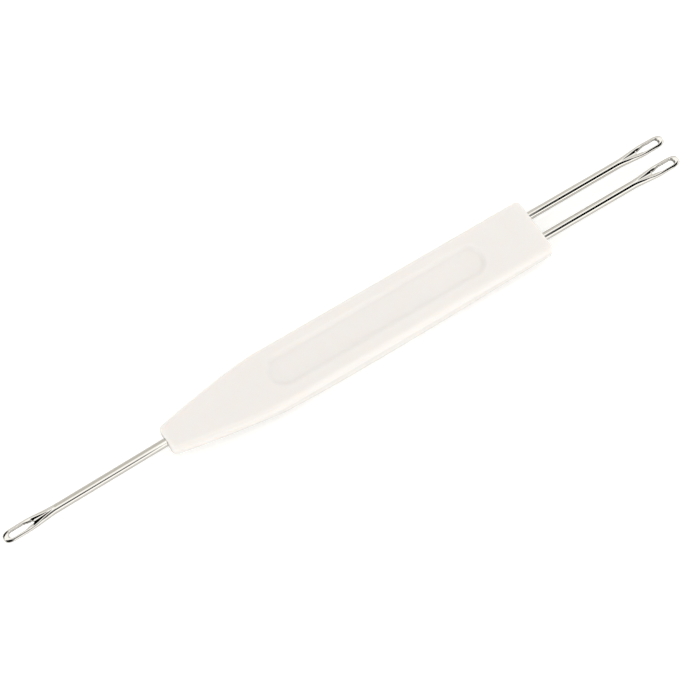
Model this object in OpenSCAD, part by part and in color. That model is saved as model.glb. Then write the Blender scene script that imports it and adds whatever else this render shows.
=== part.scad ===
// Transfer tool for a hand knitting machine, in millimetres.
// X runs along the tool from the nose prong to the twin prongs and Z is up.
// The origin is the middle of the flat under the handle, which the tool rests on.

/* [Handle] */
// Length of the handle
handle_l = 70.8; // [60:0.1:90]
// Width of the handle behind its taper
handle_w = 10.85; // [10:0.05:14]
// Width of the nose end, before its corners are rounded
nose_w = 5.05; // [4.8:0.05:8]
// Length over which the sides draw in towards the nose
taper_l = 19; // [15:0.5:30]
// How late the taper starts to show, as the power of its curve
taper_power = 1.35; // [1.2:0.05:2.5]
// Height of the top face over the middle plane of the wires
top_h = 1.3; // [1.3:0.05:3]
// Depth of the rest face under the middle plane of the wires
belly_d = 3.3; // [2.6:0.1:4.5]
// Depth of the underside at the nose
nose_d = 1.15; // [1.15:0.05:2]
// Depth of the underside at the square end
square_d = 2.25; // [1.4:0.05:2.6]
// Length of the flat rest face
rest_l = 7; // [4:0.5:14]
// Length of level underside at the nose
nose_level_l = 3.5; // [2:0.5:6]
// Radius of the long upper edges
top_r = 1; // [0.4:0.05:1.2]
// Radius of the long lower edges
under_r = 1.6; // [0.8:0.1:1.8]
// Radius of the corners round the nose end
nose_r = 0.7; // [0.4:0.05:1.4]
// Radius of the corners round the square end
square_r = 0.7; // [0.4:0.05:1.6]
// Radius of the upper and lower edges at both ends
end_r = 0.3; // [0.1:0.05:0.4]

/* [Thumb groove] */
// Length of the groove between the middles of its end walls
groove_l = 40.7; // [30:0.1:42]
// Width of the groove between the middles of its side walls
groove_w = 5.3; // [4:0.05:5.4]
// Depth of the groove
groove_d = 0.35; // [0.2:0.05:0.6]
// Width of its sloping wall, seen from above
groove_wall = 1.1; // [0.6:0.1:1.3]
// Place of its middle along the handle
groove_x = 4.45; // [2:0.05:5]
// Place of its middle across the handle
groove_y = 0.25; // [-0.5:0.05:0.5]

/* [Wires] */
// Diameter of the wire
wire_d = 1.45; // [1.2:0.05:1.5]
// Distance between the twin prongs, the needle pitch of the machine
pitch = 4.5; // [4:0.1:5]
// Length of the nose prong outside the handle
nose_reach = 29.65; // [20:0.05:45]
// Length of the twin prongs outside the handle
twin_reach = 27.5; // [20:0.1:45]
// Sideways lean of the nose prong, in degrees
nose_lean = 0.93; // [0:0.01:1.5]

/* [Eyes] */
// Width across a pressed eye
eye_w = 2.2; // [1.9:0.05:2.4]
// Thickness of a pressed eye
eye_t = 0.8; // [0.6:0.05:1]
// Width of the hole in the eye
hole_w = 1; // [0.8:0.05:1.2]
// Length of the hole
hole_l = 4.4; // [3.5:0.1:6]
// Radius at the inner end of the hole
hole_end_r = 0.2; // [0.15:0.01:0.3]
// Length over which the hole narrows to its inner end
hole_taper_l = 2; // [1.5:0.1:2.2]
// Metal left between the hole and the tip
tip_wall = 1; // [0.8:0.05:1.5]
// Length of the rounding of the tip
tip_round_l = 2.2; // [1:0.1:2.5]
// Length over which the round wire widens into the eye
flare_l = 5; // [3:0.1:6]
// How far the widening goes on beside the hole
flare_past = 1.2; // [0.5:0.1:2]
// Length of the lead-in channel behind the hole
channel_l = 3.3; // [2:0.1:4]
// Width of the lead-in channel
channel_w = 0.4; // [0.2:0.02:0.5]
// Depth of the channel where it meets the hole, under the surface of the round wire
channel_d = 0.6; // [0.4:0.05:0.7]

/* [Anchors] */
// Length of wire inside the handle
tail_l = 9.5; // [8:0.5:9.5]
// Length of the pressed anchor on the tail
anchor_l = 4; // [3:0.5:5]
// Width across the anchor
anchor_w = 1.9; // [1.6:0.1:2.2]
// Thickness of the anchor
anchor_t = 0.8; // [0.6:0.1:1]
// Length of each ramp of the anchor
anchor_ramp = 1; // [0.6:0.1:1.5]
// Round wire between the anchor and the end of the tail
tail_end_l = 1; // [0.5:0.5:1.5]
// Clearance round a tail in its socket
socket_gap = 0.02; // [0.01:0.01:0.04]

/* [Hidden] */
nose_x = -handle_l / 2;
square_x = handle_l / 2;
wire_z = belly_d;
wire_r = wire_d / 2;
// Steps of the curved outlines
round_steps = 5;
body_steps = 34;
shoulder_steps = 6;
under_steps = 4;
flare_steps = 8;
tip_steps = 8;
// The sockets and the cuts reach this far past the surface that they open
past = 1;
// A pressed wire's side cut clears the round wire by this much where the wire stays round
side_spare = 0.02;
// The smallest flat left between two rounded edges
min_flat = 0.25;
turn_fn = 64;

// Smooth step from 0 to 1
function ease(u) = (1 - cos(180 * min(1, max(0, u)))) / 2;
function blend(a, b, u) = a + (b - a) * u;

// How far a rounded end draws the outline in, at distance g from that end
function drawn_in(g, r) = g >= r ? 0 : r - sqrt(max(0, r * r - (r - g) * (r - g)));
function corner_inset(x) = drawn_in(x - nose_x, nose_r) + drawn_in(square_x - x, square_r);
function edge_inset(x) = drawn_in(x - nose_x, end_r) + drawn_in(square_x - x, end_r);

// Half width of the handle at x
function taper_share(x) = max(0, (nose_x + taper_l - x) / taper_l);
function half_w(x) = (handle_w - (handle_w - nose_w) * pow(taper_share(x), taper_power)) / 2 - corner_inset(x);

// Height of the top and depth of the underside at x, from the middle plane of the wires
function top_at(x) = top_h - edge_inset(x);
function nose_rise(x) = ease((x - nose_x - nose_level_l) / (handle_l / 2 - nose_level_l - rest_l / 2));
function square_rise(x) = ease((x - rest_l / 2) / (square_x - rest_l / 2));
function under_line(x) = x < 0 ? blend(nose_d, belly_d, nose_rise(x)) : blend(belly_d, square_d, square_rise(x));
function under_at(x) = under_line(x) - edge_inset(x);

// One rounded edge of the cross-section's outline, from angle a0 to a1, about a centre
function corner(cy, cz, r, a0, a1, steps) = [
    for (i = [0:steps])
        let (a = blend(a0, a1, i / steps))
        [cy + r * cos(a), cz + r * sin(a)]
];

// Cross-section of the handle at x, counter-clockwise seen from the square end
function section(x) =
    let (w = half_w(x))
    let (t = top_at(x))
    let (u = under_at(x))
    let (sr = min(top_r, t, w - min_flat))
    let (ur = min(under_r, u - min_flat, w - min_flat))
    concat(
        corner(w - sr, t - sr, sr, 0, 90, shoulder_steps),
        corner(sr - w, t - sr, sr, 90, 180, shoulder_steps),
        corner(ur - w, ur - u, ur, 180, 270, under_steps),
        corner(w - ur, ur - u, ur, 270, 360, under_steps)
    );

function round_share(i) = 1 - cos(90 * i / round_steps);
stations = concat(
    [for (i = [0:round_steps]) nose_x + nose_r * round_share(i)],
    [for (i = [1:body_steps - 1]) blend(nose_x + nose_r, square_x - square_r, i / body_steps)],
    [for (i = [round_steps:-1:0]) square_x - square_r * round_share(i)]
);

// A closed skin over a row of sections
module skin(xs) {
    rings = [for (x = xs) section(x)];
    n = len(rings[0]);
    m = len(rings);
    points = [for (i = [0:m - 1]) for (p = rings[i]) [xs[i], p[0], p[1]]];
    sides = [
        for (i = [0:m - 2])
            for (j = [0:n - 1])
                let (k = (j + 1) % n)
                [i * n + j, i * n + k, (i + 1) * n + k, (i + 1) * n + j]
    ];
    first_cap = [for (j = [n - 1:-1:0]) j];
    last_cap = [for (j = [0:n - 1]) (m - 1) * n + j];
    polyhedron(points, concat([first_cap], sides, [last_cap]), convexity = 4);
}

// Outline of the groove from its middle outwards, open above the top face
groove_floor = groove_w / 2 - groove_wall / 2;
groove_rim = groove_w / 2 + groove_wall / 2;
groove_slope = groove_wall / groove_d;
groove_half = [
    [0, top_h - groove_d],
    [groove_floor, top_h - groove_d],
    [groove_rim + past * groove_slope, top_h + past],
    [0, top_h + past]
];
groove_full = [
    [-groove_floor, top_h - groove_d],
    [groove_floor, top_h - groove_d],
    [groove_rim + past * groove_slope, top_h + past],
    [-groove_rim - past * groove_slope, top_h + past]
];

// The space taken out of the top face, a straight run with two round ends
module groove_space() {
    run = groove_l - groove_w;
    translate([groove_x, groove_y, 0]) {
        rotate([90, 0, 90]) linear_extrude(height = run, center = true) polygon(groove_full);
        for (side = [-1, 1])
            translate([side * run / 2, 0, 0]) rotate_extrude($fn = turn_fn) polygon(groove_half);
    }
}

// Radius of a pressed wire along its length, as [radius, place] pairs
eye_start = tip_wall + hole_l - flare_past + flare_l;
function anchor_points(grow) = [
    [wire_r + grow, -tail_l + tail_end_l],
    [anchor_w / 2 + grow, -tail_l + tail_end_l + anchor_ramp],
    [anchor_w / 2 + grow, -tail_l + tail_end_l + anchor_l - anchor_ramp],
    [wire_r + grow, -tail_l + tail_end_l + anchor_l]
];
function flare_points(reach) = [
    for (i = [0:flare_steps])
        [blend(wire_r, eye_w / 2, ease(i / flare_steps)), reach - eye_start + flare_l * i / flare_steps]
];
function tip_points(reach) = [
    for (i = [0:tip_steps])
        let (a = 90 * i / tip_steps)
        [eye_w / 2 * cos(a), reach - tip_round_l + tip_round_l * sin(a)]
];

// Half thickness of a pressed wire along its length, as [place, half thickness] pairs
spare_r = wire_r + side_spare;
function anchor_side(grow) = [
    [-tail_l - past, spare_r + grow],
    [-tail_l + tail_end_l, spare_r + grow],
    [-tail_l + tail_end_l + anchor_ramp, anchor_t / 2 + grow],
    [-tail_l + tail_end_l + anchor_l - anchor_ramp, anchor_t / 2 + grow],
    [-tail_l + tail_end_l + anchor_l, spare_r + grow]
];
function eye_side(reach) = [
    for (i = [0:flare_steps])
        [reach - eye_start + flare_l * i / flare_steps, blend(spare_r, eye_t / 2, ease(i / flare_steps))]
];

module turned(points) {
    rotate([0, 90, 0]) rotate_extrude($fn = turn_fn) polygon(points);
}

module side_cut(line, width) {
    below = [for (i = [len(line) - 1:-1:0]) [line[i][0], -line[i][1]]];
    rotate([90, 0, 0]) linear_extrude(height = width, center = true) polygon(concat(line, below));
}

// The hole of an eye, seen from above, with its round end towards the tip
module hole_outline(reach) {
    x_tip = reach - tip_wall - hole_w / 2;
    x_mid = reach - tip_wall - hole_l + hole_taper_l;
    x_end = reach - tip_wall - hole_l + hole_end_r;
    translate([x_tip, 0]) circle(d = hole_w, $fn = turn_fn);
    translate([x_end, 0]) circle(r = hole_end_r, $fn = turn_fn);
    polygon([
        [x_tip, hole_w / 2],
        [x_mid, hole_w / 2],
        [x_end, hole_end_r],
        [x_end, -hole_end_r],
        [x_mid, -hole_w / 2],
        [x_tip, -hole_w / 2]
    ]);
}

// The pair of channels that lead into the hole, one on each face of the wire
module channels(reach) {
    x_end = reach - tip_wall - hole_l + hole_end_r;
    x_start = x_end - channel_l;
    for (face = [-1, 1])
        rotate([90, 0, 0]) linear_extrude(height = channel_w, center = true)
            polygon([
                [x_start, face * wire_r],
                [x_end, face * (wire_r - channel_d)],
                [x_end, face * (wire_r + past)],
                [x_start, face * (wire_r + past)]
            ]);
}

// A round wire with a pressed anchor inside the handle, up to where the eye starts; it leaves the handle at x = 0
module shaft(reach) {
    x_eye = reach - eye_start;
    intersection() {
        turned(concat([[0, -tail_l], [wire_r, -tail_l]], anchor_points(0), [[wire_r, x_eye], [0, x_eye]]));
        side_cut(concat(anchor_side(0), [[x_eye + past, spare_r]]), anchor_w + past);
    }
}

// The pressed end of the same wire, with its hole and its two lead-in channels
module eye(reach) {
    difference() {
        intersection() {
            turned(concat([[0, reach - eye_start]], flare_points(reach), tip_points(reach)));
            side_cut(concat(eye_side(reach), [[reach + past, eye_t / 2]]), eye_w + past);
        }
        linear_extrude(height = wire_d + past, center = true) hole_outline(reach);
        channels(reach);
    }
}

// The socket that a tail fills, open at the handle's end
module socket() {
    intersection() {
        turned(concat([[0, -tail_l - socket_gap], [wire_r + socket_gap, -tail_l - socket_gap]],
            anchor_points(socket_gap), [[wire_r + socket_gap, past], [0, past]]));
        side_cut(concat(anchor_side(socket_gap), [[past + past, spare_r + socket_gap]]), anchor_w + past);
    }
}

module at_nose() {
    translate([nose_x, 0, wire_z]) rotate([0, 0, 180 + nose_lean]) children();
}

module at_square_end(side) {
    translate([square_x, side * pitch / 2, wire_z]) children();
}

module handle() {
    color([0.93, 0.92, 0.9])
    difference() {
        translate([0, 0, wire_z]) skin(stations);
        translate([0, 0, wire_z]) groove_space();
        at_nose() socket();
        for (side = [-1, 1]) at_square_end(side) socket();
    }
}

module nose_prong() {
    color([0.78, 0.78, 0.79]) at_nose() shaft(nose_reach);
}

module nose_eye() {
    color([0.78, 0.78, 0.79]) at_nose() eye(nose_reach);
}

module twin_prong_left() {
    color([0.78, 0.78, 0.79]) at_square_end(1) shaft(twin_reach);
}

module twin_eye_left() {
    color([0.78, 0.78, 0.79]) at_square_end(1) eye(twin_reach);
}

module twin_prong_right() {
    color([0.78, 0.78, 0.79]) at_square_end(-1) shaft(twin_reach);
}

module twin_eye_right() {
    color([0.78, 0.78, 0.79]) at_square_end(-1) eye(twin_reach);
}

handle();
nose_prong();
nose_eye();
twin_prong_left();
twin_eye_left();
twin_prong_right();
twin_eye_right();
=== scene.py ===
import math

import bpy
import numpy as np
from mathutils import Matrix, Vector


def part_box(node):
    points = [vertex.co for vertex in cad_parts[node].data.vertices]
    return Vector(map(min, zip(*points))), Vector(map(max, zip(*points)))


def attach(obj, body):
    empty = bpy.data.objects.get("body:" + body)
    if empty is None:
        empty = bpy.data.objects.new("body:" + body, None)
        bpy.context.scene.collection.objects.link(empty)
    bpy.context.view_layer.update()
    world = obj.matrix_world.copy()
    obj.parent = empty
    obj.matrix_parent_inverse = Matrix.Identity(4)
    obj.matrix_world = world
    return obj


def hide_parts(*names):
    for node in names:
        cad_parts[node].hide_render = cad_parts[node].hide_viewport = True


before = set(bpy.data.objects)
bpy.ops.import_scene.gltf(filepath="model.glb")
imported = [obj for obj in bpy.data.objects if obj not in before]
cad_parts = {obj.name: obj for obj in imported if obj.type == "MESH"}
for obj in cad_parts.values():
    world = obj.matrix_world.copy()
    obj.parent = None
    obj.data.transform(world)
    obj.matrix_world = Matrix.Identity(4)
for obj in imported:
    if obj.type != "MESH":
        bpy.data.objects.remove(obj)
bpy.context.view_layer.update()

# A transfer tool for a hand knitting machine, in metres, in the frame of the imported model
MM = 0.001
TINY = 1e-9

# The photograph's view: the camera stands on a sphere round the target, over a square frame
VIEW_AZIMUTH = math.radians(-32.377)
VIEW_ELEVATION = math.radians(66.664)
VIEW_DISTANCE = 350 * MM
VIEW_TARGET = Vector((-2.756, 0.119, 3.332)) * MM
LENS = 114.59
SENSOR = 36.0
NEAREST_SEEN = 10 * MM

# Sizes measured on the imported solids
handle_low, handle_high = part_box("handle")
NOSE_X = handle_low[0]
SQUARE_X = handle_high[0]
HANDLE_W = handle_high[1] - handle_low[1]
shaft_low, shaft_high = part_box("nose_prong")
WIRE_R = (shaft_high[2] - shaft_low[2]) / 2
WIRE_Z = (shaft_high[2] + shaft_low[2]) / 2
TOP_H = handle_high[2] - WIRE_Z
BELLY_D = WIRE_Z - handle_low[2]

# Handle, the sizes that its curves follow
NOSE_W = 5.05 * MM
TAPER_L = 19 * MM
TAPER_POWER = 1.35
NOSE_D = 1.15 * MM
SQUARE_D = 2.25 * MM
REST_L = 7 * MM
NOSE_LEVEL_L = 3.5 * MM
TOP_R = 1 * MM
UNDER_R = 1.6 * MM
NOSE_R = 0.7 * MM
SQUARE_R = 0.7 * MM
END_R = 0.3 * MM
MIN_FLAT = 0.25 * MM

# Thumb groove
GROOVE_L = 40.7 * MM
GROOVE_W = 5.3 * MM
GROOVE_D = 0.35 * MM
GROOVE_WALL = 1.1 * MM
GROOVE_X = 4.45 * MM
GROOVE_Y = 0.25 * MM

# How finely the handle is divided
SHOULDER_STEPS = 14
TOP_STEPS = 64
SIDE_STEPS = 6
UNDER_STEPS = 10
END_STEPS = 17
LENGTH_STEPS = 240

# Wires and their places
PITCH = 4.5 * MM
NOSE_REACH = 29.649 * MM
TWIN_REACH = 27.5 * MM
NOSE_LEAN = math.radians(0.93)
WIRE_INSIDE = 2 * MM

# The pressed eye and its hole
EYE_W = 2.2 * MM
EYE_T = 0.8 * MM
HOLE_W = 1.0 * MM
HOLE_L = 4.4 * MM
HOLE_END_R = 0.2 * MM
HOLE_TAPER_L = 2 * MM
TIP_WALL = 1 * MM
TIP_ROUND_L = 2.2 * MM
TIP_BLUNT = 3
FLARE_L = 5 * MM
FLARE_PAST = 1.2 * MM

# The lead-in channel behind the hole, and the share of its width with which it starts
CHANNEL_L = 3.7 * MM
CHANNEL_PAST = 2.2 * MM
CHANNEL_W = 1.7 * MM
CHANNEL_DEEP = 0.175 * MM
CHANNEL_START = 0.1

# Roundings of the eye's edges
ARM_ROUND = 0.365 * MM
TIP_SOFT_R = 0.66 * MM
TIP_SOFT_L = 5.1 * MM
HOLE_ROUND = 0.2 * MM
TIP_EDGE_R = 0.23 * MM

# How finely a wire is divided, and the runs before hole and tip over which the steps get shorter
SHAFT_STEPS = 60
FLARE_STEPS = 40
HOLE_STEPS = 50
TIP_STEPS = 12
TURN_STEPS = 13
ACROSS_STEPS = 24
RIM_POINTS = 400
HOLE_LEAD = 0.4 * MM
TIP_LEAD = 0.3 * MM
STATION_DIGITS = 9
# Points of a wire count as one on the same point of a grid with this many steps a metre
MERGE_GRID = 1e7

# Plastic
PLASTIC_DARKER = (0.845, 0.812, 0.785)
PLASTIC_LIGHTER = (0.865, 0.832, 0.805)
PLASTIC_SHINE = 0.5
PLASTIC_ROUGH = (0.19, 0.27)
PLASTIC_BUMP = 0.15
PLASTIC_BUMP_H = 0.01 * MM
SCATTER_RADII = (1.0, 0.9, 0.8)
SCATTER_DEPTH = 0.8 * MM
TONE_SCALE = 90
TONE_DETAIL = 2
GRAIN_SCALE = 2500
GRAIN_DETAIL = 4

# Plated wire, with lines drawn along it
METAL = (0.65, 0.634, 0.596)
METAL_EDGE = (0.85, 0.84, 0.82)
METAL_ROUGH = (0.02, 0.07)
METAL_BUMP = 0.1
METAL_BUMP_H = 0.002 * MM
DRAWN_STRETCH = (0.06, 1, 1)
DRAWN_SCALE = 9000
DRAWN_DETAIL = 3

# The part of a noise pattern's range that roughness follows
NOISE_SPREAD = (0.3, 0.7)

# Floor, with the glow that brings it up to white for the camera and a faint one for what mirrors it
FLOOR_SIZE = 4.0
FLOOR_GAP = 0.02 * MM
FLOOR_COLOUR = (0.9, 0.9, 0.89)
FLOOR_ROUGH = 0.9
FLOOR_SEEN = 0.28
FLOOR_MIRRORED = 0.03

# The world, by the x of a direction and by its angle round the tool, which is 0 straight up and negative
# on the camera's side. Seen from the camera, the nose prong's shaft mirrors x from 0.06 to 0.11, the
# handle from 0.14 to 0.28 and the twin prongs' shafts from 0.31 to 0.36. The eyes mirror the rest.
WHITE = (1.0, 1.0, 1.0)
BLACK = (0.0, 0.0, 0.0)
SOFT_EDGE = math.radians(3)

# Tent that mirroring surfaces see: its walls, its roof, its near side and the ground before it
WALL_LEFT = (0.79, 0.77, 0.72)
WALL_RIGHT = (0.89, 0.875, 0.83)
WALL_TURN = (0.1, 0.3)
WALL_ENDS = (0.99, 0.98, 0.95)
LEFT_END = (0.02, 0.06)
RIGHT_END = (0.37, 0.4)
WALL_MIDDLE = (1.35, 1.35, 1.33)
MIDDLE_FROM = (0.12, 0.15)
MIDDLE_TO = (0.27, 0.3)
ROOF = (1.48, 1.48, 1.46)
ROOF_END = ((0.03, 36), (0.07, 16), (0.35, 37))
NEAR_SIDE = (1.62, 1.62, 1.60)
NEAR_END = math.radians(-49)
GROUND = (0.83, 0.83, 0.81)
GROUND_END = math.radians(-90)
STRIP = (2.7, 2.7, 2.67)
STRIP_FROM = math.radians(-44)
STRIP_TO = math.radians(-12)

# Dark slit in the tent's near side, in two parts with the tent's middle between them
SLIT_LOW = ((-0.2, -90), (-0.12, -85), (0.0, -54), (0.38, -54), (0.45, -76), (0.6, -69))
SLIT_HIGH = ((-0.12, -10), (0.05, -19), (0.12, -30), (0.26, -36), (0.31, -1), (0.37, 1), (0.41, -4))
SLIT_LEFT = (-0.95, -0.85)
SLIT_RIGHT = (0.58, 0.68)
LEFT_PART_TO = (0.12, 0.15)
RIGHT_PART_FROM = (0.295, 0.32)
PALER_FROM = (-0.12, -0.1)
PALER_TO = (0.01, 0.05)
PALER_SHARE = 0.8

# Dark opening in the tent's far side, at its left
OPENING_LOW = ((-0.5, 22.5), (-0.2, 30))
OPENING_HIGH = math.radians(155)
OPENING_LEFT = (-0.9, -0.8)
OPENING_RIGHT = (-0.08, -0.02)

# Plain light on diffuse surfaces
PLAIN_TOP = (0.775, 0.775, 0.765)
PLAIN_NEAR = (1.87, 1.87, 1.85)
PLAIN_FAR = (1.02, 1.02, 1.01)
PLAIN_LEFT = (1.05, 1.05, 1.04)
PLAIN_NEAR_TURN = (math.radians(-90), math.radians(-35))
PLAIN_FAR_TURN = (math.radians(-20), math.radians(90))
PLAIN_LEFT_TURN = (-0.8, 0)

# Sockets that the mix node uses for colours
MIX_SHARE = 0
MIX_A = 6
MIX_B = 7
MIX_RESULT = 2


def ease(u):
    """Smooth step from 0 to 1."""
    return (1 - np.cos(np.pi * np.clip(u, 0, 1))) / 2


def blend(a, b, u):
    return a + (b - a) * u


def rounded(g, r):
    """Height share of a quarter round of radius r, at distance g inside its edge."""
    return np.sqrt(np.clip(1 - (1 - np.clip(g / r, 0, 1)) ** 2, 0, 1))


def closing_in(steps):
    """Shares from 0 to 1 that lie close together near 0."""
    return 1 - np.cos(np.linspace(0, np.pi / 2, steps))


def drawn_in(g, r):
    """How far a rounded end draws the outline in, at distance g from that end."""
    return r - r * rounded(g, r)


def corner_inset(x):
    return drawn_in(x - NOSE_X, NOSE_R) + drawn_in(SQUARE_X - x, SQUARE_R)


def edge_inset(x):
    return drawn_in(x - NOSE_X, END_R) + drawn_in(SQUARE_X - x, END_R)


def half_width(x):
    share = np.maximum(0, (NOSE_X + TAPER_L - x) / TAPER_L)
    return (HANDLE_W - (HANDLE_W - NOSE_W) * share ** TAPER_POWER) / 2 - corner_inset(x)


def top_at(x):
    """Height of the top face over the wires' middle plane."""
    return TOP_H - edge_inset(x)


def under_at(x):
    """Depth of the underside under the wires' middle plane."""
    nose_run = -NOSE_X - NOSE_LEVEL_L - REST_L / 2
    nose_line = blend(NOSE_D, BELLY_D, ease((x - NOSE_X - NOSE_LEVEL_L) / nose_run))
    square_line = blend(BELLY_D, SQUARE_D, ease((x - REST_L / 2) / (SQUARE_X - REST_L / 2)))
    return np.where(x < 0, nose_line, square_line) - edge_inset(x)


def groove_depth(x, y):
    """Depth of the thumb groove under the top face."""
    run = (GROOVE_L - GROOVE_W) / 2
    along = np.maximum(0, np.abs(x - GROOVE_X) - run)
    outside = np.hypot(along, y - GROOVE_Y) - GROOVE_W / 2
    return GROOVE_D * ease(0.5 - outside / GROOVE_WALL)


def corner(cy, cz, r, a0, a1, steps):
    """A rounded edge of a section's outline, without its last point."""
    a = np.radians(np.linspace(a0, a1, steps, endpoint=False))
    return np.stack([cy + r * np.cos(a), cz + r * np.sin(a)], 1)


def line(p, q, steps):
    """A straight run of a section's outline, without its last point."""
    u = np.linspace(0, 1, steps, endpoint=False)[:, None]
    return np.array(p) * (1 - u) + np.array(q) * u


def handle_section(x):
    """The handle's outline at x, from the side of the right twin prong over the top."""
    w, t, u = float(half_width(x)), float(top_at(x)), float(under_at(x))
    sr = min(TOP_R, t, w - MIN_FLAT)
    ur = min(UNDER_R, u - MIN_FLAT, w - MIN_FLAT)
    return np.concatenate([
        corner(w - sr, t - sr, sr, 0, 90, SHOULDER_STEPS),
        line((w - sr, t), (sr - w, t), TOP_STEPS),
        corner(sr - w, t - sr, sr, 90, 180, SHOULDER_STEPS),
        line((-w, t - sr), (-w, ur - u), SIDE_STEPS),
        corner(ur - w, ur - u, ur, 180, 270, UNDER_STEPS),
        line((ur - w, -u), (w - ur, -u), UNDER_STEPS),
        corner(w - ur, ur - u, ur, 270, 360, UNDER_STEPS),
        line((w, ur - u), (w, t - sr), SIDE_STEPS),
    ])


def handle_stations():
    """Places along the handle, close together at its ends."""
    turn = closing_in(END_STEPS)
    middle = np.linspace(NOSE_X + NOSE_R, SQUARE_X - SQUARE_R, LENGTH_STEPS)
    return np.concatenate([NOSE_X + NOSE_R * turn, middle[1:-1], SQUARE_X - SQUARE_R * turn[::-1]])


def mesh_object(name, points, faces):
    mesh = bpy.data.meshes.new(name)
    mesh.from_pydata([tuple(p) for p in points], [], faces)
    mesh.validate()
    mesh.polygons.foreach_set("use_smooth", [True] * len(mesh.polygons))
    mesh.update()
    obj = bpy.data.objects.new(name, mesh)
    bpy.context.scene.collection.objects.link(obj)
    return obj


def handle_piece():
    """The moulding, a closed skin over its sections with the groove pressed into the upper side."""
    xs = handle_stations()
    rings = np.array([handle_section(x) for x in xs])
    n = rings.shape[1]
    px = np.repeat(xs[:, None], n, 1)
    py, pz = rings[..., 0], rings[..., 1]
    pz = np.where(pz > 0, pz - groove_depth(px, py), pz)
    points = np.stack([px, py, pz + WIRE_Z], 2).reshape(-1, 3)
    faces = []
    for i in range(len(xs) - 1):
        for j in range(n):
            k = (j + 1) % n
            faces.append((i * n + j, i * n + k, (i + 1) * n + k, (i + 1) * n + j))
    faces.append(tuple(range(n - 1, -1, -1)))
    faces.append(tuple((len(xs) - 1) * n + j for j in range(n)))
    return mesh_object("handle_moulding", points, faces)


# A wire is made along x, from 0 where it leaves the handle to its reach at the tip.
def flare_share(x, reach):
    """Share of the change from round wire to flat eye that is made at x."""
    u = np.clip((x - (reach - TIP_WALL - HOLE_L + FLARE_PAST - FLARE_L)) / FLARE_L, 0, 1)
    return (u + ease(u)) / 2


def wire_half_width(x, reach):
    w = blend(WIRE_R, EYE_W / 2, flare_share(x, reach))
    tip = np.clip((x - reach + TIP_ROUND_L) / TIP_ROUND_L, 0, 1)
    return w * np.clip(1 - tip ** TIP_BLUNT, 0, 1) ** (1 / TIP_BLUNT)


def wire_half_height(x, reach):
    return blend(WIRE_R, EYE_T / 2, flare_share(x, reach))


def hole_half_width(x, reach):
    """Half width of the eye's hole at x, 0 where there is none."""
    x_tip = reach - TIP_WALL - HOLE_W / 2
    x_end = reach - TIP_WALL - HOLE_L + HOLE_END_R
    x_mid = reach - TIP_WALL - HOLE_L + HOLE_TAPER_L
    side = blend(HOLE_END_R, HOLE_W / 2, ease((x - x_end) / (x_mid - x_end)))
    round_tip = np.sqrt(np.clip((HOLE_W / 2) ** 2 - np.clip(x - x_tip, 0, None) ** 2, 0, None))
    round_end = np.sqrt(np.clip(HOLE_END_R ** 2 - np.clip(x_end - x, 0, None) ** 2, 0, None))
    return np.where(x > x_tip, round_tip, np.where(x < x_end, round_end, side))


def wire_stations(reach):
    """Places along a wire, close together where its eye's hole begins and ends and at its tip."""
    hole_low = reach - TIP_WALL - HOLE_L
    hole_high = reach - TIP_WALL
    start = hole_low - HOLE_L
    turn = closing_in(TURN_STEPS)
    before_hole = 1 - np.sin(np.linspace(0, np.pi / 2, TURN_STEPS))
    return np.unique(np.round(np.concatenate([
        np.linspace(-WIRE_INSIDE, start, SHAFT_STEPS),
        np.linspace(start, hole_low - HOLE_LEAD, FLARE_STEPS),
        hole_low - HOLE_LEAD * before_hole,
        hole_low + HOLE_END_R * turn,
        np.linspace(hole_low + HOLE_END_R, hole_high - HOLE_W / 2, HOLE_STEPS),
        hole_high - HOLE_W / 2 * turn,
        np.linspace(hole_high, reach - TIP_LEAD, TIP_STEPS),
        reach - TIP_LEAD * turn,
    ]), STATION_DIGITS))


def hole_distance(x, y, reach):
    """Distance from a point of the eye to the edge of its hole."""
    edge_x = np.linspace(reach - TIP_WALL - HOLE_L, reach - TIP_WALL, RIM_POINTS)
    edge_y = hole_half_width(edge_x, reach)
    gap = np.hypot(x[..., None] - edge_x, np.abs(y)[..., None] - edge_y)
    return gap.min(axis=-1)


def channel_depth(x, y, reach):
    """Depth of the lead-in channel, which widens and deepens towards the hole."""
    x_end = reach - TIP_WALL - HOLE_L + HOLE_END_R
    along = np.clip(1 - (x_end - x) / CHANNEL_L, 0, 1)
    half = CHANNEL_W / 2 * blend(CHANNEL_START, 1, along)
    beside_hole = 1 - ease((x - x_end) / CHANNEL_PAST)
    return CHANNEL_DEEP * np.sin(np.pi / 2 * along) * (1 - ease(np.abs(y) / half)) * beside_hole


def wire_quarter(reach):
    """Grids of x, y and z over a wire's upper left quarter, from its hole or middle out to its edge."""
    xs = wire_stations(reach)
    share = (1 - np.cos(np.pi * np.arange(ACROSS_STEPS + 1) / ACROSS_STEPS)) / 2
    w = wire_half_width(xs, reach)[:, None]
    h = wire_half_height(xs, reach)[:, None]
    inner = hole_half_width(xs, reach)[:, None]
    y = inner + (w - inner) * share
    x = np.repeat(xs[:, None], ACROSS_STEPS + 1, 1)
    arm = blend(w, ARM_ROUND, ease(flare_share(x, reach)))
    arm = blend(arm, TIP_SOFT_R, ease((x - reach + TIP_SOFT_L) / TIP_SOFT_L))
    outer = rounded(w - y, np.clip(arm, TINY, np.maximum(w, TINY))) * rounded(reach - x, TIP_EDGE_R)
    inside = rounded(hole_distance(x, y, reach), HOLE_ROUND)
    z = np.maximum(h - channel_depth(x, y, reach), 0) * outer * inside
    return x, y, z


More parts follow.
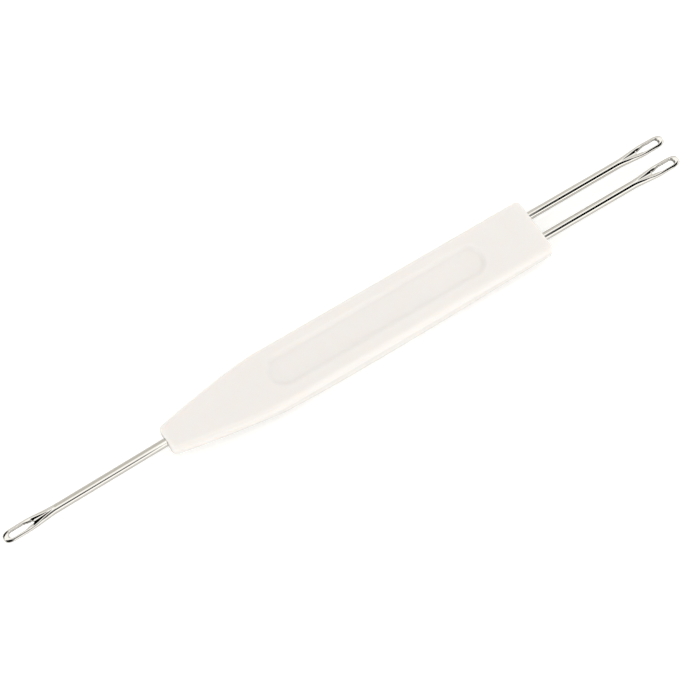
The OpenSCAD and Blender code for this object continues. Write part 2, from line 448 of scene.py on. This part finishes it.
def wire_piece(name, reach, place):
    """One wire with its pressed eye, from a quarter that is mirrored across and over."""
    x, y, z = wire_quarter(reach)
    rows, columns = x.shape
    quarters = [(zs, ys) for zs in (1, -1) for ys in (1, -1)]
    points, index = [], {}
    for zs, ys in quarters:
        for i in range(rows):
            for j in range(columns):
                p = (x[i, j], ys * y[i, j], zs * z[i, j])
                key = tuple(round(c * MERGE_GRID) for c in p)
                if key not in index:
                    index[key] = len(points)
                    points.append(p)
                index[(zs, ys, i, j)] = index[key]
    faces = []
    for zs, ys in quarters:
        for i in range(rows - 1):
            for j in range(columns - 1):
                cell = ((i, j), (i + 1, j), (i + 1, j + 1), (i, j + 1))
                quad = [index[(zs, ys, a, b)] for a, b in cell]
                if zs * ys < 0:
                    quad.reverse()
                quad = [q for k, q in enumerate(quad) if q != quad[k - 1]]
                if len(set(quad)) == len(quad) and len(quad) > 2:
                    faces.append(tuple(quad))
    points = [place @ Vector(p) for p in points]
    return mesh_object(name, points, faces)


def node_of(tree, kind, **values):
    node = tree.nodes.new(kind)
    for name, value in values.items():
        setattr(node, name, value)
    return node


def feed(tree, socket, value):
    """Gives a socket a number, a colour or another node's output."""
    if isinstance(value, (int, float)):
        socket.default_value = value
    elif isinstance(value, tuple):
        socket.default_value = (*value, 1)
    else:
        tree.links.new(value, socket)


def math_node(tree, operation, *inputs):
    node = node_of(tree, "ShaderNodeMath", operation=operation)
    for socket, value in zip(node.inputs, inputs):
        feed(tree, socket, value)
    return node.outputs[0]


def map_range(tree, value, low, high, to_low, to_high, kind="SMOOTHSTEP"):
    node = node_of(tree, "ShaderNodeMapRange", interpolation_type=kind)
    for socket, v in zip(node.inputs, (value, low, high, to_low, to_high)):
        feed(tree, socket, v)
    return node.outputs[0]


def rise(tree, value, edge):
    """0 before an edge and 1 past it, where the edge is the pair of values between which it goes."""
    return map_range(tree, value, *edge, 0, 1)


def fall(tree, value, edge):
    """1 before an edge and 0 past it."""
    return map_range(tree, value, *edge, 1, 0)


def stops(tree, value, points):
    """Straight runs between points of a value and an angle in degrees, given back in radians."""
    total = math.radians(points[0][1])
    for (v0, a0), (v1, a1) in zip(points, points[1:]):
        run = map_range(tree, value, v0, v1, 0, math.radians(a1 - a0), kind="LINEAR")
        total = math_node(tree, "ADD", run, total)
    return total


def mix_colour(tree, share, a, b):
    node = node_of(tree, "ShaderNodeMix", data_type="RGBA")
    feed(tree, node.inputs[MIX_SHARE], share)
    feed(tree, node.inputs[MIX_A], a)
    feed(tree, node.inputs[MIX_B], b)
    return node.outputs[MIX_RESULT]


def new_material(name):
    material = bpy.data.materials.new(name)
    material.use_nodes = True
    tree = material.node_tree
    return material, tree, tree.nodes["Principled BSDF"]


def noise(tree, place, scale, detail):
    node = node_of(tree, "ShaderNodeTexNoise")
    node.inputs["Scale"].default_value = scale
    node.inputs["Detail"].default_value = detail
    tree.links.new(place, node.inputs["Vector"])
    return node.outputs["Fac"]


def add_relief(tree, shader, pattern, rough, strength, height):
    """Lets a surface's roughness and bump follow a pattern."""
    tree.links.new(map_range(tree, pattern, *NOISE_SPREAD, *rough), shader.inputs["Roughness"])
    bump = node_of(tree, "ShaderNodeBump")
    bump.inputs["Strength"].default_value = strength
    bump.inputs["Distance"].default_value = height
    tree.links.new(pattern, bump.inputs["Height"])
    tree.links.new(bump.outputs["Normal"], shader.inputs["Normal"])


def plastic_material():
    material, tree, shader = new_material("handle_plastic")
    place = node_of(tree, "ShaderNodeTexCoord").outputs["Object"]
    tone = noise(tree, place, TONE_SCALE, TONE_DETAIL)
    feed(tree, shader.inputs["Base Color"], mix_colour(tree, tone, PLASTIC_DARKER, PLASTIC_LIGHTER))
    grain = noise(tree, place, GRAIN_SCALE, GRAIN_DETAIL)
    add_relief(tree, shader, grain, PLASTIC_ROUGH, PLASTIC_BUMP, PLASTIC_BUMP_H)
    shader.inputs["Specular IOR Level"].default_value = PLASTIC_SHINE
    shader.inputs["Subsurface Weight"].default_value = 1
    shader.inputs["Subsurface Radius"].default_value = SCATTER_RADII
    shader.inputs["Subsurface Scale"].default_value = SCATTER_DEPTH
    return material


def wire_material():
    material, tree, shader = new_material("prong_wire")
    feed(tree, shader.inputs["Base Color"], METAL)
    feed(tree, shader.inputs["Specular Tint"], METAL_EDGE)
    shader.inputs["Metallic"].default_value = 1
    stretch = node_of(tree, "ShaderNodeMapping")
    stretch.inputs["Scale"].default_value = DRAWN_STRETCH
    tree.links.new(node_of(tree, "ShaderNodeTexCoord").outputs["Object"], stretch.inputs["Vector"])
    drawn = noise(tree, stretch.outputs["Vector"], DRAWN_SCALE, DRAWN_DETAIL)
    add_relief(tree, shader, drawn, METAL_ROUGH, METAL_BUMP, METAL_BUMP_H)
    return material


def floor_glow(tree):
    """The floor's own light, for the rays that see a backdrop and for no others."""
    path = node_of(tree, "ShaderNodeLightPath")
    mirrored = math_node(tree, "MAXIMUM", path.outputs["Is Glossy Ray"], path.outputs["Is Transmission Ray"])
    mirrored = math_node(tree, "MULTIPLY", mirrored, FLOOR_MIRRORED)
    straight = math_node(tree, "MULTIPLY", path.outputs["Is Camera Ray"], FLOOR_SEEN)
    return math_node(tree, "ADD", mirrored, straight)


def floor_piece():
    half = FLOOR_SIZE / 2
    corners = [(x * half, y * half, -FLOOR_GAP) for x, y in ((-1, -1), (1, -1), (1, 1), (-1, 1))]
    floor = mesh_object("floor", corners, [(0, 1, 2, 3)])
    material, tree, shader = new_material("floor_paper")
    feed(tree, shader.inputs["Base Color"], FLOOR_COLOUR)
    shader.inputs["Roughness"].default_value = FLOOR_ROUGH
    shader.inputs["Specular IOR Level"].default_value = 0
    feed(tree, shader.inputs["Emission Color"], WHITE)
    feed(tree, shader.inputs["Emission Strength"], floor_glow(tree))
    # The glow is only there to be seen, so no light samples go to it.
    material.cycles.emission_sampling = "NONE"
    floor.data.materials.append(material)


def mirrored_light(tree, dx, angle):
    """A white tent with a dark slit in its near side and a dark opening at its far left."""

    def past(edge):
        """0 before an angle round the tool, 1 past it."""
        return map_range(tree, math_node(tree, "SUBTRACT", angle, edge), -SOFT_EDGE, SOFT_EDGE, 0, 1)

    def until(edge):
        return math_node(tree, "SUBTRACT", 1, past(edge))

    def times(a, b):
        return math_node(tree, "MULTIPLY", a, b)

    wall = mix_colour(tree, rise(tree, dx, WALL_TURN), WALL_LEFT, WALL_RIGHT)
    at_ends = math_node(tree, "ADD", fall(tree, dx, LEFT_END), rise(tree, dx, RIGHT_END))
    wall = mix_colour(tree, at_ends, wall, WALL_ENDS)
    in_middle = math_node(tree, "SUBTRACT", rise(tree, dx, MIDDLE_FROM), rise(tree, dx, MIDDLE_TO))
    wall = mix_colour(tree, in_middle, wall, WALL_MIDDLE)
    colour = mix_colour(tree, past(stops(tree, dx, ROOF_END)), ROOF, wall)
    colour = mix_colour(tree, past(NEAR_END), NEAR_SIDE, colour)
    colour = mix_colour(tree, past(GROUND_END), GROUND, colour)
    strip = math_node(tree, "SUBTRACT", past(STRIP_FROM), past(STRIP_TO))
    colour = mix_colour(tree, times(strip, in_middle), colour, STRIP)

    paler_from = map_range(tree, dx, *PALER_FROM, 1, PALER_SHARE)
    paler_to = map_range(tree, dx, *PALER_TO, 0, 1 - PALER_SHARE)
    left_part = math_node(tree, "ADD", paler_from, paler_to)
    left_part = math_node(tree, "SUBTRACT", left_part, rise(tree, dx, LEFT_PART_TO))
    left_part = times(left_part, rise(tree, dx, SLIT_LEFT))
    right_part = rise(tree, dx, RIGHT_PART_FROM)
    slit = times(past(stops(tree, dx, SLIT_LOW)), until(stops(tree, dx, SLIT_HIGH)))
    slit = times(slit, math_node(tree, "ADD", left_part, right_part))
    slit = times(slit, fall(tree, dx, SLIT_RIGHT))

    opening = times(past(stops(tree, dx, OPENING_LOW)), until(OPENING_HIGH))
    opening = times(opening, rise(tree, dx, OPENING_LEFT))
    opening = times(opening, fall(tree, dx, OPENING_RIGHT))
    return mix_colour(tree, math_node(tree, "MAXIMUM", slit, opening), colour, BLACK)


def plain_light(tree, dx, angle):
    """White from all sides, stronger from the near side and a little from the far side and the left."""
    plain = mix_colour(tree, fall(tree, angle, PLAIN_NEAR_TURN), PLAIN_TOP, PLAIN_NEAR)
    plain = mix_colour(tree, rise(tree, angle, PLAIN_FAR_TURN), plain, PLAIN_FAR)
    return mix_colour(tree, fall(tree, dx, PLAIN_LEFT_TURN), plain, PLAIN_LEFT)


def studio_light():
    """White for the camera, plain light for diffuse surfaces, and the tent for those that mirror."""
    world = bpy.data.worlds.new("studio")
    bpy.context.scene.world = world
    world.use_nodes = True
    tree = world.node_tree
    back = tree.nodes["Background"]
    parts = node_of(tree, "ShaderNodeSeparateXYZ")
    tree.links.new(node_of(tree, "ShaderNodeTexCoord").outputs["Generated"], parts.inputs[0])
    dx, dy, dz = parts.outputs
    angle = math_node(tree, "ARCTAN2", dy, dz)
    path = node_of(tree, "ShaderNodeLightPath")
    mirrored = mirrored_light(tree, dx, angle)
    plain = plain_light(tree, dx, angle)
    seen = mix_colour(tree, path.outputs["Is Diffuse Ray"], mirrored, plain)
    seen = mix_colour(tree, path.outputs["Is Camera Ray"], seen, WHITE)
    tree.links.new(seen, back.inputs["Color"])
    back.inputs["Strength"].default_value = 1


def camera():
    data = bpy.data.cameras.new("camera")
    data.lens = LENS
    data.sensor_width = SENSOR
    data.clip_start = NEAREST_SEEN
    obj = bpy.data.objects.new("camera", data)
    bpy.context.scene.collection.objects.link(obj)
    a, e = VIEW_AZIMUTH, VIEW_ELEVATION
    back = Vector((math.sin(a) * math.cos(e), -math.cos(a) * math.cos(e), math.sin(e)))
    right = Vector((math.cos(a), math.sin(a), 0))
    up = back.cross(right)
    turn = Matrix((right, up, back)).transposed().to_4x4()
    obj.matrix_world = Matrix.Translation(VIEW_TARGET + back * VIEW_DISTANCE) @ turn
    bpy.context.scene.camera = obj


def add_piece(piece, material, slot, *nodes):
    piece.data.materials.append(material)
    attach(piece, "root")
    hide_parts(*nodes)


camera()
studio_light()
floor_piece()
plastic = plastic_material()
metal = wire_material()
add_piece(handle_piece(), plastic, "handle_plastic", "handle")
nose_place = Matrix.Translation((NOSE_X, 0, WIRE_Z)) @ Matrix.Rotation(math.pi + NOSE_LEAN, 4, "Z")
add_piece(wire_piece("nose_wire", NOSE_REACH, nose_place), metal, "prong_wire", "nose_prong", "nose_eye")
for side, word in ((1, "left"), (-1, "right")):
    place = Matrix.Translation((SQUARE_X, side * PITCH / 2, WIRE_Z))
    wire = wire_piece("twin_wire_" + word, TWIN_REACH, place)
    add_piece(wire, metal, "prong_wire", "twin_prong_" + word, "twin_eye_" + word)

bpy.context.scene.view_settings.view_transform = "Standard"
